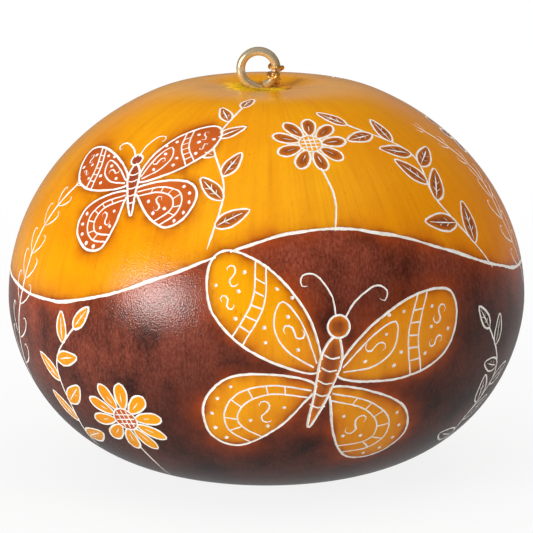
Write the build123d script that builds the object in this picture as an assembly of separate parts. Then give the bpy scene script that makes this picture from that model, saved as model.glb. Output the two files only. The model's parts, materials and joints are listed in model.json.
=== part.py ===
from build123d import *

import os
from math import atan2, cos, hypot, pi, radians, sin, sqrt, tan

# A small gourd, dried whole and hung as an ornament by a brass screw eye turned into its stem.
# Millimetres, +Z up, with the origin under the middle of the flat foot that it stands on.

# Gourd: a ripe fruit dried to a hollow woody shell, dented at the stem and sanded flat under its belly
GOURD_DIAMETER = 70.0
CROWN_RISE = 30.66  # from the widest line up to the top, before the dent
BELLY_DROP = 24.18  # from the widest line down to the bottom, before the foot is sanded
BELLY_FULLNESS = 2.96  # more makes a flatter bottom, and 2 with a rounding of 2 is a plain ellipse
BELLY_ROUNDING = 1.81  # less makes the belly turn under sooner
SHELL_WALL = 3.0
DENT_RADIUS = 16.0
DENT_DEPTH = 2.2
FOOT_RADIUS = 8.3
BLOSSOM_SCAR_RADIUS = 3.2
BLOSSOM_SCAR_DEPTH = 0.6
OUTLINE_SPANS = 14  # spans of the smooth outline on each side of the widest line

# Stem: the fibrous stub of the stem, trimmed flush, grown through the shell a little to one side
STEM_X = -0.6
STEM_RADIUS = 3.8
STEM_TIP_RADIUS = 2.6
STEM_LENGTH = 8.0
STEM_TIP_ROUNDING = 0.9
STEM_CLEARANCE = 0.05

# Screw eye: one length of brass wire, its ring left a little open
WIRE_DIAMETER = 1.2
EYE_INNER_DIAMETER = 3.6
EYE_OFFSET = -0.48  # ring's middle, from the shank
EYE_SINK = 0.45  # how far the bend under the ring is screwed below the stem's face
SHANK_LENGTH = 7.0
SHANK_POINT = 1.4
SHANK_POINT_RADIUS = 0.12
BEND_RADIUS = 0.95
ROOT_LEG_SLOPE = 28.0  # degrees, the leg from the shank up into the ring
FREE_LEG_SLOPE = 33.0  # degrees, the straight cut end on the other side
FREE_LEG_LENGTH = 0.6

# Thread tie: gold thread wound round the ring's wire, free to slide along it
THREAD_DIAMETER = 0.4
THREAD_CLEARANCE = 0.1
TIE_TURNS = 2
TIE_FIRST_ANGLE = 26.0  # degrees round the ring from level, where the winding starts
TIE_PITCH_ANGLE = 39.0  # degrees of ring for each turn

# Seeds: loose flat seeds lying on the floor of the shell, in an inner and an outer ring
SEED_LENGTH = 10.0
SEED_WIDTH = 5.2
SEED_POINT_WIDTH = 2.8
SEED_THICKNESS = 2.0
SEED_ROUNDING = 0.8
SEED_CLEARANCE = 0.3
SEED_GAP = 1.4
INNER_SEEDS = 3
OUTER_SEEDS = 8
SEED_TURN = 55.0  # degrees that each seed lies turned from the one before

GOURD_RADIUS = GOURD_DIAMETER / 2
CAVITY_RADIUS = GOURD_RADIUS - SHELL_WALL
CAVITY_RISE = CROWN_RISE - SHELL_WALL
CAVITY_DROP = BELLY_DROP - SHELL_WALL
WIRE_RADIUS = WIRE_DIAMETER / 2
EYE_RADIUS = EYE_INNER_DIAMETER / 2 + WIRE_RADIUS
THREAD_RADIUS = THREAD_DIAMETER / 2
SMALL_STEP = 0.01  # for slopes and directions taken between two near points


def crown(radius, across, rise):
    """Height of the crown over the widest line, with the stem's dent let into it."""
    height = rise * sqrt(max(0.0, 1 - (radius / across) ** 2))
    if radius < DENT_RADIUS:
        height -= DENT_DEPTH * (1 + cos(pi * radius / DENT_RADIUS)) / 2
    return height


def belly(radius, across, drop):
    """Depth of the belly under the widest line."""
    share = max(0.0, 1 - (radius / across) ** BELLY_FULLNESS)
    return drop * share ** (1 / BELLY_ROUNDING)


# The foot is where the belly is FOOT_RADIUS wide, and everything stands on it.
EQUATOR_Z = belly(FOOT_RADIUS, GOURD_RADIUS, BELLY_DROP)
STEM_TOP_Z = EQUATOR_Z + crown(abs(STEM_X), GOURD_RADIUS, CROWN_RISE)


def floor_z(radius):
    """Height of the cavity's floor."""
    return EQUATOR_Z - belly(radius, CAVITY_RADIUS, CAVITY_DROP)


def belly_slope(radius, across, drop):
    """Direction of the belly's outline, inwards and down, at a radius."""
    fall = belly(radius - SMALL_STEP, across, drop) - belly(radius + SMALL_STEP, across, drop)
    return (-2 * SMALL_STEP, 0, -fall)


def round_body(across, rise, drop, foot):
    """Solid of revolution between a crown and a belly, cut level where the belly is foot wide."""
    quarter = [sin(pi / 2 * step / OUTLINE_SPANS) for step in range(OUTLINE_SPANS + 1)]
    upper = [(across * s, 0, EQUATOR_Z + crown(across * s, across, rise)) for s in quarter]
    clear_of_foot = 1.2 * foot
    radii = [foot] + [across * s for s in quarter if across * s > clear_of_foot]
    lower = [(r, 0, EQUATOR_Z - belly(r, across, drop)) for r in reversed(radii)]
    top, bottom = upper[0], lower[-1]
    crown_line = Spline(*upper, tangents=[(1, 0, 0), (0, 0, -1)])
    if foot > 0:
        belly_line = Spline(*lower, tangents=[(0, 0, -1), belly_slope(foot, across, drop)])
        closing = Polyline(bottom, (0, 0, bottom[2]), top)
    else:
        belly_line = Spline(*lower, tangents=[(0, 0, -1), (-1, 0, 0)])
        closing = Line(bottom, top)
    return revolve(make_face(crown_line + belly_line + closing), Axis.Z)


def stem_plug(gap):
    """Tapered stub of the stem, grown by gap, running a little out of the crown."""
    overrun = DENT_DEPTH
    taper = (STEM_RADIUS - STEM_TIP_RADIUS) / STEM_LENGTH
    height = STEM_LENGTH + gap + overrun
    foot_radius = STEM_TIP_RADIUS + gap - taper * gap
    head_radius = foot_radius + taper * height
    middle = (STEM_X, 0, STEM_TOP_Z + overrun - height / 2)
    return Pos(*middle) * Cone(foot_radius, head_radius, height)


def ring_point(angle, out=0.0, aside=0.0):
    """Point beside the ring's wire: an angle round the ring, then outwards and along Y."""
    reach = EYE_RADIUS + out
    return Vector(EYE_X + reach * cos(angle), aside, EYE_Z + reach * sin(angle))


def biarc(start, start_way, end, end_way):
    """Two tangent arcs that join two points in two given directions."""
    across = end - start
    ways = start_way + end_way
    spread = 2 * (1 - start_way.dot(end_way))
    reach = across.dot(ways)
    arm = (sqrt(reach**2 + spread * across.dot(across)) - reach) / spread
    first_corner = start + start_way * arm
    last_corner = end - end_way * arm
    middle = (first_corner + last_corner) * 0.5
    middle_way = (last_corner - first_corner).normalized()
    return [
        TangentArc(start, middle, tangent=start_way),
        TangentArc(middle, end, tangent=middle_way),
    ]


def tube(path, radius):
    """Round section swept along a path."""
    return sweep(Plane(path @ 0, z_dir=path % 0) * Circle(radius), path=path)


# Gourd shell: hollow, whole but for the hole that the stem fills
blank = round_body(GOURD_RADIUS, CROWN_RISE, BELLY_DROP, FOOT_RADIUS)
cavity = round_body(CAVITY_RADIUS, CAVITY_RISE, CAVITY_DROP, 0)
scar_ball_radius = (BLOSSOM_SCAR_RADIUS**2 + BLOSSOM_SCAR_DEPTH**2) / (2 * BLOSSOM_SCAR_DEPTH)
blossom_scar = Pos(0, 0, BLOSSOM_SCAR_DEPTH - scar_ball_radius) * Sphere(scar_ball_radius)
gourd_shell = blank - cavity - stem_plug(STEM_CLEARANCE) - blossom_scar

# Screw eye: up the shank, round the bend, along the root leg, clockwise round the ring to the cut end
root_angle = radians(270 - ROOT_LEG_SLOPE)
free_angle = radians(-90 + FREE_LEG_SLOPE)
leg_run = -EYE_OFFSET - EYE_RADIUS * cos(root_angle)
bend_drop = leg_run * tan(radians(ROOT_LEG_SLOPE)) - EYE_RADIUS * sin(root_angle)
BEND_Z = STEM_TOP_Z - EYE_SINK
EYE_X = STEM_X + EYE_OFFSET
EYE_Z = BEND_Z + bend_drop

shank_top = BEND_Z - SHANK_LENGTH + SHANK_POINT
root = ring_point(root_angle)
shank = FilletPolyline((STEM_X, 0, shank_top), (STEM_X, 0, BEND_Z), root, radius=BEND_RADIUS)
round_angle = 360 - ROOT_LEG_SLOPE - FREE_LEG_SLOPE
ring_plane = Plane((EYE_X, 0, EYE_Z), x_dir=(1, 0, 0), z_dir=(0, -1, 0))
ring = ring_plane * CenterArc((0, 0), EYE_RADIUS, 270 - ROOT_LEG_SLOPE, -round_angle)
free_start = ring_point(free_angle)
free_way = Vector(sin(free_angle), 0, -cos(free_angle))
free_leg = Line(free_start, free_start + free_way * FREE_LEG_LENGTH)
eye_path = Wire([*shank.edges(), *ring.edges(), free_leg])
point = Pos(STEM_X, 0, shank_top - SHANK_POINT / 2) * Cone(SHANK_POINT_RADIUS, WIRE_RADIUS, SHANK_POINT)
screw_eye = tube(eye_path, WIRE_RADIUS) + point

# Stem core: the stub between shell and screw eye, which presses its own bed into the fibres
stem_core = stem_plug(0) & blank
stem_tip = stem_core.edges().sort_by(Axis.Z)[0]
stem_core = fillet(stem_tip, STEM_TIP_ROUNDING) - screw_eye

# Thread tie: quarter turns round the wire, from the back over the inside to the front, and on down the ring
wind_radius = WIRE_RADIUS + THREAD_CLEARANCE + THREAD_RADIUS
quarters = 4 * TIE_TURNS


def wind_point(quarter):
    """Point of the winding, which crosses the front square to the wire and moves on at the back."""
    turn = pi / 2 * quarter
    angle = radians(TIE_FIRST_ANGLE - TIE_PITCH_ANGLE * (turn + sin(turn)) / (2 * pi))
    return ring_point(angle, -wind_radius * sin(turn), wind_radius * cos(turn))


def wind_way(quarter):
    """Direction of the winding there."""
    return (wind_point(quarter + SMALL_STEP) - wind_point(quarter - SMALL_STEP)).normalized()


winding = []
for quarter in range(quarters):
    winding += biarc(
        wind_point(quarter), wind_way(quarter), wind_point(quarter + 1), wind_way(quarter + 1)
    )
first_tail = Line(wind_point(0) - wind_way(0) * THREAD_DIAMETER, wind_point(0))
last_tail = Line(wind_point(quarters), wind_point(quarters) + wind_way(quarters) * THREAD_DIAMETER)
tie_path = Wire([first_tail, *winding, last_tail])
thread_tie = tube(tie_path, THREAD_RADIUS)

# Seeds: a rounded drop shape, laid flat on the sloping floor with its ends just clear
blunt_end = Pos(-(SEED_LENGTH - SEED_WIDTH) / 2, 0) * Circle(SEED_WIDTH / 2)
point_end = Pos((SEED_LENGTH - SEED_POINT_WIDTH) / 2, 0) * Circle(SEED_POINT_WIDTH / 2)
seed_outline = make_hull(blunt_end.edges() + point_end.edges())
seed_form = extrude(seed_outline, SEED_THICKNESS)
seed_edges = seed_form.edges().filter_by_position(Axis.Z, 0, 0) + seed_form.edges().filter_by_position(
    Axis.Z, SEED_THICKNESS, SEED_THICKNESS
)
seed_form = fillet(seed_edges, SEED_ROUNDING)

outer_ring = OUTER_SEEDS * (SEED_LENGTH + SEED_GAP) / (2 * pi)
inner_ring = outer_ring - SEED_LENGTH / 2 - SEED_WIDTH / 2 - SEED_GAP


def lay_seed(radius, bearing, turn):
    """Seed on the floor at a radius and bearing, turned about the floor's own upright."""
    climb = floor_z(radius + SMALL_STEP) - floor_z(radius - SMALL_STEP)
    slope = atan2(climb, 2 * SMALL_STEP)
    outward = Vector(cos(bearing) * cos(slope), sin(bearing) * cos(slope), sin(slope))
    around = Vector(-sin(bearing), cos(bearing), 0)
    upright = outward.cross(around)
    along = around * cos(turn) + outward * sin(turn)
    spot = Vector(radius * cos(bearing), radius * sin(bearing), floor_z(radius))
    ends = [spot + along * (side * SEED_LENGTH / 2) for side in (-1, 1)]
    rise = max(floor_z(hypot(end.X, end.Y)) - end.Z for end in ends)
    seat = spot + upright * (SEED_CLEARANCE + max(0.0, rise) * upright.Z)
    return Plane(seat, x_dir=along, z_dir=upright) * seed_form


seeds = []
for number in range(INNER_SEEDS):
    seeds.append(lay_seed(inner_ring, 2 * pi * number / INNER_SEEDS, 0.0))
for number in range(OUTER_SEEDS):
    seeds.append(lay_seed(outer_ring, 2 * pi * number / OUTER_SEEDS, radians(SEED_TURN * number)))

# Least gap of the thread to itself, between points more than half a turn apart along it
steps_per_turn = 48
thread_points = [wind_point(4 * step / steps_per_turn) for step in range(TIE_TURNS * steps_per_turn + 1)]
thread_gap = min(
    (there - here).length - THREAD_DIAMETER
    for place, here in enumerate(thread_points)
    for there in thread_points[place + steps_per_turn // 2 :]
)
print(f"thread tie's least gap to itself {thread_gap:.2f} mm")

os.makedirs("parts", exist_ok=True)
export_step(gourd_shell, "parts/gourd_shell.step")
export_step(stem_core, "parts/stem_core.step")
export_step(screw_eye, "parts/screw_eye.step")
export_step(thread_tie, "parts/thread_tie.step")
for number, seed in enumerate(seeds, 1):
    export_step(seed, f"parts/seed_{number:02d}.step")
print(f"ring middle {EYE_X:.3f} 0 {EYE_Z:.3f}, widest line {EQUATOR_Z:.3f}, stem face {STEM_TOP_Z:.3f}")
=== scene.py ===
import json
import math
import random

import bmesh
import bpy
import numpy as np
from mathutils import Matrix, Vector, kdtree, noise

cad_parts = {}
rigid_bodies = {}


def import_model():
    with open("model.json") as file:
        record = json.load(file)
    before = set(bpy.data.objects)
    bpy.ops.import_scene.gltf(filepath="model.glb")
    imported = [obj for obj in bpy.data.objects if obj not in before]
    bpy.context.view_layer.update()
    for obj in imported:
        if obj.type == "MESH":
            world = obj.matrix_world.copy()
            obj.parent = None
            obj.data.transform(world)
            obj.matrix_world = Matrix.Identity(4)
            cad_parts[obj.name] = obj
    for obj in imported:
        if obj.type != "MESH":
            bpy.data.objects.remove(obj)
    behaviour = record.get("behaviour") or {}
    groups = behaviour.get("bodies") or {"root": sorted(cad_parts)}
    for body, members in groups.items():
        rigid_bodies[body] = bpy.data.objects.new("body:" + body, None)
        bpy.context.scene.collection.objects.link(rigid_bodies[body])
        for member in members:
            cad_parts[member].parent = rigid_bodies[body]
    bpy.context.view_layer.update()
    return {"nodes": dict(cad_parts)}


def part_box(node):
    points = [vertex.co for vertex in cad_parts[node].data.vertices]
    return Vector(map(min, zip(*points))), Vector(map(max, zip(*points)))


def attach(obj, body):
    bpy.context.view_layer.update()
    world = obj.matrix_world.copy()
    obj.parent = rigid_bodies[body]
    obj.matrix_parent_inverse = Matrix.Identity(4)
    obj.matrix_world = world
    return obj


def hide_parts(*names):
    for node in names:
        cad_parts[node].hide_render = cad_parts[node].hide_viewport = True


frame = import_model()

# Gourd blank: a ripe fruit dried whole until only its woody shell is left, dented where the stem grew,
# sunk a little behind the stem and sanded flat underneath so that it stands. Its outer and its inner
# wall are spun about the gourd's axis.
MM = 0.001
GOURD_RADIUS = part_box("gourd_shell")[1][0]
CROWN_RISE = 30.66 * MM
BELLY_DROP = 24.18 * MM
BELLY_FULLNESS = 2.96
BELLY_ROUNDING = 1.81
SHELL_WALL = 3.0 * MM
DENT_RADIUS = 16.0 * MM
DENT_DEPTH = 2.2 * MM
STEM_X = -0.6 * MM
STEM_RADIUS = 3.85 * MM
HOLLOW_WIDTH = 5.5 * MM
HOLLOW_DEPTH = 0.65 * MM
HOLLOW_TURN = 3.0 * MM
FOOT_RADIUS = 8.3 * MM
BLOSSOM_SCAR_RADIUS = 3.2 * MM
BLOSSOM_SCAR_DEPTH = 0.6 * MM
SCAR_RINGS = (1.0, 0.75, 0.5, 0.25, 0.0)
OUTLINE_POINTS = 2000
RIND_STEP = 1.0 * MM
RIND_COLUMNS = 224
INNER_ROWS = 40
WELD = 1e-4 * MM
RIND, GROOVE, PITH = range(3)


def crown(radius, across, rise):
    """Height of the crown over the widest line, with the stem's dent let into it."""
    height = rise * math.sqrt(max(0.0, 1 - (radius / across) ** 2))
    if radius < DENT_RADIUS:
        height -= DENT_DEPTH * (1 + math.cos(math.pi * radius / DENT_RADIUS)) / 2
    return height


def belly(radius, across, drop):
    """Depth of the belly under the widest line."""
    share = max(0.0, 1 - (radius / across) ** BELLY_FULLNESS)
    return drop * share ** (1 / BELLY_ROUNDING)


def hollow(x, y):
    """How far the rind sinks behind the stem."""
    gap = np.clip((np.hypot(x - STEM_X, y) - STEM_RADIUS) / HOLLOW_WIDTH, 0, 1)
    back = np.clip((y / HOLLOW_TURN + 1) / 2, 0, 1)
    return HOLLOW_DEPTH * (1 - gap**2 * (3 - 2 * gap)) * back**2 * (3 - 2 * back)


WIDEST_Z = belly(FOOT_RADIUS, GOURD_RADIUS, BELLY_DROP)


def wall_outline(across, rise, drop, bottom_radius, count):
    """Radius and height of a wall from the middle of the dent down to a radius of its bottom."""
    outline = []
    for angle in np.linspace(0, math.pi - math.asin(bottom_radius / across), count):
        radius = across * math.sin(angle)
        if angle < math.pi / 2:
            outline.append((radius, WIDEST_Z + crown(radius, across, rise)))
        else:
            outline.append((radius, WIDEST_Z - belly(radius, across, drop)))
    return np.array(outline)


# The outer wall is measured along its own curve: arc is 0 at the widest line and grows upwards.
wall = wall_outline(GOURD_RADIUS, CROWN_RISE, BELLY_DROP, FOOT_RADIUS, OUTLINE_POINTS)
wall_run = np.concatenate([[0.0], np.cumsum(np.hypot(*np.diff(wall, axis=0).T))])
widest = int(np.argmax(wall[:, 0]))
wall_arc = wall_run[widest] - wall_run
wall_slope = np.gradient(wall, wall_run, axis=0)
TOP_ARC, FOOT_ARC = wall_arc[0], wall_arc[-1]


def on_wall(arc, table):
    """Values of a table along the wall, at one arc or many."""
    return np.interp(-np.asarray(arc), -wall_arc, table)


def spin_wall(mesh, outline):
    """Spins an outline from axis to axis into a closed wall and gives its faces."""
    before = set(mesh.faces)
    points = [mesh.verts.new((radius, 0, height)) for radius, height in outline]
    edges = [mesh.edges.new(pair) for pair in zip(points, points[1:])]
    bmesh.ops.spin(
        mesh, geom=points + edges, cent=(0, 0, 0), axis=(0, 0, 1),
        angle=2 * math.pi, steps=RIND_COLUMNS, use_merge=True,
    )
    bmesh.ops.remove_doubles(mesh, verts=mesh.verts, dist=WELD)
    faces = [face for face in mesh.faces if face not in before]
    bmesh.ops.recalc_face_normals(mesh, faces=faces)
    return faces


def as_mesh(shaping, name):
    """Mesh of a shaping that is done."""
    mesh = bpy.data.meshes.new(name)
    shaping.to_mesh(mesh)
    shaping.free()
    return mesh


def put(name, data):
    """Object at the origin, put into the scene."""
    made = bpy.data.objects.new(name, data)
    bpy.context.scene.collection.objects.link(made)
    return made


rows = np.linspace(TOP_ARC, FOOT_ARC, round((TOP_ARC - FOOT_ARC) / RIND_STEP) + 1)
outer_wall = np.column_stack([on_wall(rows, wall[:, 0]), on_wall(rows, wall[:, 1])])
scar_ball = (BLOSSOM_SCAR_RADIUS**2 + BLOSSOM_SCAR_DEPTH**2) / (2 * BLOSSOM_SCAR_DEPTH)
foot = [((BLOSSOM_SCAR_RADIUS + FOOT_RADIUS) / 2, 0.0)]
for share in SCAR_RINGS:
    reach = share * BLOSSOM_SCAR_RADIUS
    foot.append((reach, BLOSSOM_SCAR_DEPTH - scar_ball + math.sqrt(scar_ball**2 - reach**2)))
inner_wall = wall_outline(
    GOURD_RADIUS - SHELL_WALL, CROWN_RISE - SHELL_WALL, BELLY_DROP - SHELL_WALL, 0.0, INNER_ROWS
)
blank = bmesh.new()
spin_wall(blank, [*outer_wall, *foot])
for vertex in blank.verts:
    if vertex.co.z > WIDEST_Z:
        vertex.co.z -= hollow(vertex.co.x, vertex.co.y)
cavity = spin_wall(blank, inner_wall)
bmesh.ops.reverse_faces(blank, faces=cavity)
for face in cavity:
    face.material_index = PITH
gourd_mesh = as_mesh(blank, "gourd_carved")
gourd = put("gourd_carved", gourd_mesh)

# Drawing on the rind: the carver sketches closed shapes and free lines, the nearer over the farther.
# A place is an azimuth, 0 towards the viewer and growing to the right, and an arc up the wall.
MAIN_CUT = 0.36 * MM
FINE_CUT = 0.27 * MM
STALK_CUT = FINE_CUT * 1.2
LEAF_CUT = FINE_CUT * 1.15
LEAFLET_CUT = FINE_CUT * 0.95
RIB_CUT = FINE_CUT * 0.9
PETAL_RIB_CUT = FINE_CUT * 0.85
VEIN_CUT = FINE_CUT * 0.8
LINE_STEP = 0.5 * MM
HILL_RISE, HILL_SWELL, HILL_RIPPLE = 4.5, 8.0, 3.4
SWELL_TURN, RIPPLE_TURN = math.radians(20), math.radians(40)
HORIZON_STEPS = 460
SECOND_STROKE = 0.1
FIRST_LEAF, LAST_LEAF = 0.12, 0.98
LEAF_LEAN = 48
FIRST_LEAFLET, LEAFLET_SPAN = 0.1, 0.84
shapes = []
cuts = []
pecks = []


def smooth(points, closed=False, per_span=10):
    """Curve through a few points."""
    points = np.array(points, float)
    count = len(points)
    if closed:
        padded = np.concatenate([points[-1:], points, points[:2]])
    else:
        before, after = 2 * points[:1] - points[1:2], 2 * points[-1:] - points[-2:-1]
        padded = np.concatenate([before, points, after])
    curve = []
    for place in range(count if closed else count - 1):
        a, b, c, d = padded[place : place + 4]
        for t in np.arange(per_span) / per_span:
            bend = (2 * a - 5 * b + 4 * c - d) * t**2 + (3 * b - a - 3 * c + d) * t**3
            curve.append(b + 0.5 * ((c - a) * t + bend))
    if not closed:
        curve.append(points[-1])
    return np.array(curve)


def ring(radius, count, rise=0.0):
    """Points of a circle."""
    turns = np.linspace(0, 2 * math.pi, count, endpoint=False)
    return [(radius * math.cos(turn), rise + radius * math.sin(turn)) for turn in turns]


def spot(azimuth, arc, size=1.0, tilt=0.0):
    """Where a figure is drawn: degrees round the gourd, millimetres up it, size and tilt."""
    return math.radians(azimuth), arc, size, math.radians(tilt)


def lay(where, points):
    """Places on the rind for points drawn in millimetres about a spot."""
    azimuth, arc, size, tilt = where
    x, y = np.array(points, float).T * size
    up = (arc + x * math.sin(tilt) + y * math.cos(tilt)) * MM
    aside = (x * math.cos(tilt) - y * math.sin(tilt)) * MM
    return np.column_stack([azimuth + aside / on_wall(up, wall[:, 0]), up])


def near(where, x, y, size, tilt):
    """A spot inside a figure, given in the figure's own millimetres."""
    ((azimuth, arc),) = lay(where, [(x, y)])
    return azimuth, arc / MM, where[2] * size, where[3] + math.radians(tilt)


def even_steps(places, closed):
    """The same line with places about a line step apart."""
    if closed:
        places = np.concatenate([places, places[:1]])
    aside = np.diff(places[:, 0]) * on_wall(places[:-1, 1], wall[:, 0])
    spans = np.hypot(aside, np.diff(places[:, 1]))
    run = np.concatenate([[0.0], np.cumsum(spans)])
    count = max(3, round(run[-1] / LINE_STEP) + 1)
    steps = np.linspace(0, run[-1], count, endpoint=not closed)
    return np.column_stack([np.interp(steps, run, places[:, axis]) for axis in (0, 1)])


def shape(where, points, dye, width=MAIN_CUT, rounded=True):
    """Closed shape: it hides what lies behind it, takes a dye and is outlined by a cut."""
    outline = even_steps(lay(where, smooth(points, closed=True) if rounded else points), True)
    shapes.append((outline, dye))
    cuts.append((outline, width, True, False, len(shapes)))


def line(where, points, width=FINE_CUT, rounded=True, tapered=True):
    """Free line, which runs out thin at its ends unless it meets others there."""
    places = lay(where, smooth(points) if rounded else points)
    cuts.append((places, width, False, tapered, len(shapes)))


def dot(where, x, y):
    """Prod of the gouge's tip."""
    pecks.append((lay(where, [(x, y)]), len(shapes)))


def hill(azimuth):
    """Arc of the line between sky and ground."""
    wave = HILL_SWELL * np.cos(azimuth - SWELL_TURN) + HILL_RIPPLE * np.cos(3 * azimuth - RIPPLE_TURN)
    return (HILL_RISE + wave) * MM


def handed(points, side):
    """Points drawn for the right side, turned over where side is -1."""
    return [(side * x, y) for x, y in points]


def scroll(where, side):
    """Small S with curled ends."""
    stroke = [(-0.75, 0.0), (-1.0, -0.5), (-0.55, -0.95), (0.0, -0.6), (-0.05, 0.05), (0.05, 0.65),
              (0.6, 0.95), (1.0, 0.5), (0.7, 0.05)]
    line(where, handed(stroke, side))


def leaf(where, dye):
    """Leaf from its stalk at the spot, ten units long."""
    edge = [(0, 0), (2.6, 2.0), (6.2, 1.9), (10, 0), (6.2, -1.9), (2.6, -2.0)]
    shape(where, edge, dye, LEAF_CUT)
    line(where, [(0.4, 0), (4.5, 0.1), (8.6, 0)], RIB_CUT)
    for pair in range(2):
        root = 2.6 + 2.2 * pair
        line(where, [(root, 0.1), (root + 1.5, 1.25)], VEIN_CUT, rounded=False)
        line(where, [(root, 0.0), (root + 1.5, -1.2)], VEIN_CUT, rounded=False)


def stalk(route, shares):
    """Stalk through places in degrees and millimetres, with the spot and the heading at shares of it."""
    places = smooth(route, per_span=14) * (math.radians(1), MM)
    cuts.append((places, STALK_CUT, False, True, len(shapes)))
    joints = []
    for share in shares:
        index = min(len(places) - 2, int(share * (len(places) - 1)))
        here, there = places[index], places[index + 1]
        across = (there[0] - here[0]) * on_wall(here[1], wall[:, 0])
        joints.append((here[0], here[1] / MM, math.atan2(there[1] - here[1], across)))
    return joints


def branch(route, leaves, dye, length):
    """Stalk with leaves on alternate sides and one at its end."""
    last = leaves - 1
    shares = [FIRST_LEAF + (LAST_LEAF - FIRST_LEAF) * number / last for number in range(leaves)]
    for number, (azimuth, arc, heading) in enumerate(stalk(route, shares)):
        lean = 0 if number == last else math.radians(LEAF_LEAN if number % 2 else -LEAF_LEAN)
        leaf((azimuth, arc, length * (1.05 - 0.35 * shares[number]), heading + lean), dye)


def fern(route, leaflets=9, length=4.2):
    """Frond with curled leaflets on both sides."""
    stroke = [(0, 0), (1.2, 1.5), (2.6, 2.6), (4.0, 2.9), (4.5, 2.2), (3.9, 1.8)]
    shares = [FIRST_LEAFLET + LEAFLET_SPAN * number / (leaflets - 1) for number in range(leaflets)]
    for share, (azimuth, arc, heading) in zip(shares, stalk(route, shares)):
        where = (azimuth, arc, length * (1.1 - 0.75 * share) / 4, heading)
        for side in (-1, 1):
            line(where, [(x, side * y) for x, y in stroke], LEAFLET_CUT)


def daisy(where, petals, dye, heart):
    """Open flower of ten units' radius."""
    broad = 7.6 / petals
    petal = [(3.0, -0.5), (5.4, -1.9), (8.4, -2.0), (10.0, 0.0), (8.4, 2.0), (5.4, 1.9),
             (3.0, 0.5)]
    for number in range(petals):
        turned = (where[0], where[1], where[2], where[3] + 2 * math.pi * number / petals)
        shape(turned, [(x, y * broad) for x, y in petal], dye, STALK_CUT)
        line(turned, [(4.4, 0), (7.4, 0.1)], PETAL_RIB_CUT, rounded=False)
    shape(where, ring(3.1, 20), heart, STALK_CUT, rounded=False)
    for offset in (-1.3, 0.0, 1.3):
        half = math.sqrt(2.6**2 - offset**2)
        line(where, [(-half, offset), (half, offset)], VEIN_CUT, rounded=False, tapered=False)
        line(where, [(offset, -half), (offset, half)], VEIN_CUT, rounded=False, tapered=False)


def wing(where, side, dye, fore):
    """One wing with its bands, scrolls and pecked dots."""
    if fore:
        edge = [(0.9, 1.2), (3.4, 6.2), (8.2, 10.4), (13.2, 11.6), (15.0, 8.8), (13.8, 4.4),
                (9.2, 1.4), (3.0, 0.2)]
        bands = [[(8.9, 10.8), (8.5, 6.4), (9.9, 1.7)], [(10.1, 11.2), (9.8, 6.6), (11.2, 2.3)],
                 [(1.5, 1.5), (4.0, 5.4), (6.6, 7.4), (7.0, 4.6), (5.0, 2.2), (1.7, 1.0)]]
        rungs = [((8.78, 8.9), (9.94, 9.3)), ((8.6, 7.5), (9.82, 7.8)), ((8.6, 6.1), (9.85, 6.3)),
                 ((8.86, 4.7), (10.14, 5.0)), ((9.35, 3.3), (10.68, 3.8))]
        scrolls = [(4.7, 4.4, 1.05, -35), (12.3, 8.9, 1.0, 20), (12.4, 5.9, 0.8, -10)]
        dots = [(3.9, 2.6), (5.7, 5.9), (7.4, 8.6), (5.6, 8.0), (7.5, 2.6), (8.0, 4.2), (11.1, 9.6),
                (13.9, 7.4), (11.4, 7.4), (11.2, 4.4)]
    else:
        edge = [(1.0, -0.9), (5.6, -0.7), (10.4, -2.2), (12.2, -6.0), (10.0, -10.0), (6.4, -10.8),
                (3.4, -7.4), (1.6, -3.4)]
        bands = [[(1.2, -1.7), (5.6, -2.0), (8.9, -3.8), (9.6, -6.6), (8.2, -8.9), (5.3, -10.0)],
                 [(1.4, -2.6), (5.2, -3.0), (7.6, -4.6), (8.1, -6.7), (7.0, -8.0), (4.5, -8.9)]]
        rungs = [((4.2, -1.9), (3.9, -2.8)), ((6.2, -2.2), (5.7, -3.2)), ((8.0, -3.1), (7.1, -4.1)),
                 ((9.3, -4.8), (8.0, -5.4)), ((9.4, -7.2), (8.0, -7.1)), ((8.2, -8.8), (7.1, -7.9))]
        scrolls = [(5.3, -5.4, 1.25, 25)]
        dots = [(9.9, -3.2), (10.9, -5.0), (10.9, -7.0), (9.9, -8.9), (8.2, -10.0), (3.5, -4.4),
                (4.4, -7.2), (6.5, -6.9)]
    shape(where, handed(edge, side), dye)
    for band in bands:
        line(where, handed(band, side), tapered=False)
    for rung in rungs:
        line(where, handed(rung, side), RIB_CUT, rounded=False, tapered=False)
    for x, y, size, tilt in scrolls:
        scroll(near(where, side * x, y, size, side * tilt), side)
    for x, y in handed(dots, side):
        dot(where, x, y)


def butterfly(where, dye, body):
    """Butterfly with open wings, thirty units across."""
    feeler = [(0.4, 6.6), (1.4, 9.0), (3.4, 10.9), (4.9, 10.6), (4.8, 9.5), (4.0, 9.7)]
    trunk = [(0.0, 5.0), (1.15, 2.6), (0.9, -1.0), (0.0, -6.6), (-0.9, -1.0), (-1.15, 2.6)]
    for side in (-1, 1):
        wing(where, side, dye, fore=False)
        wing(where, side, dye, fore=True)
        line(where, handed(feeler, side))
    shape(where, trunk, body)
    for y in (-3.4, -1.9, -0.4, 1.1, 2.6):
        line(where, [(-0.9, y), (0.0, y - 0.35), (0.9, y)], rounded=False, tapered=False)
    shape(where, ring(1.25, 16, 5.9), body, STALK_CUT, rounded=False)


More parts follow.
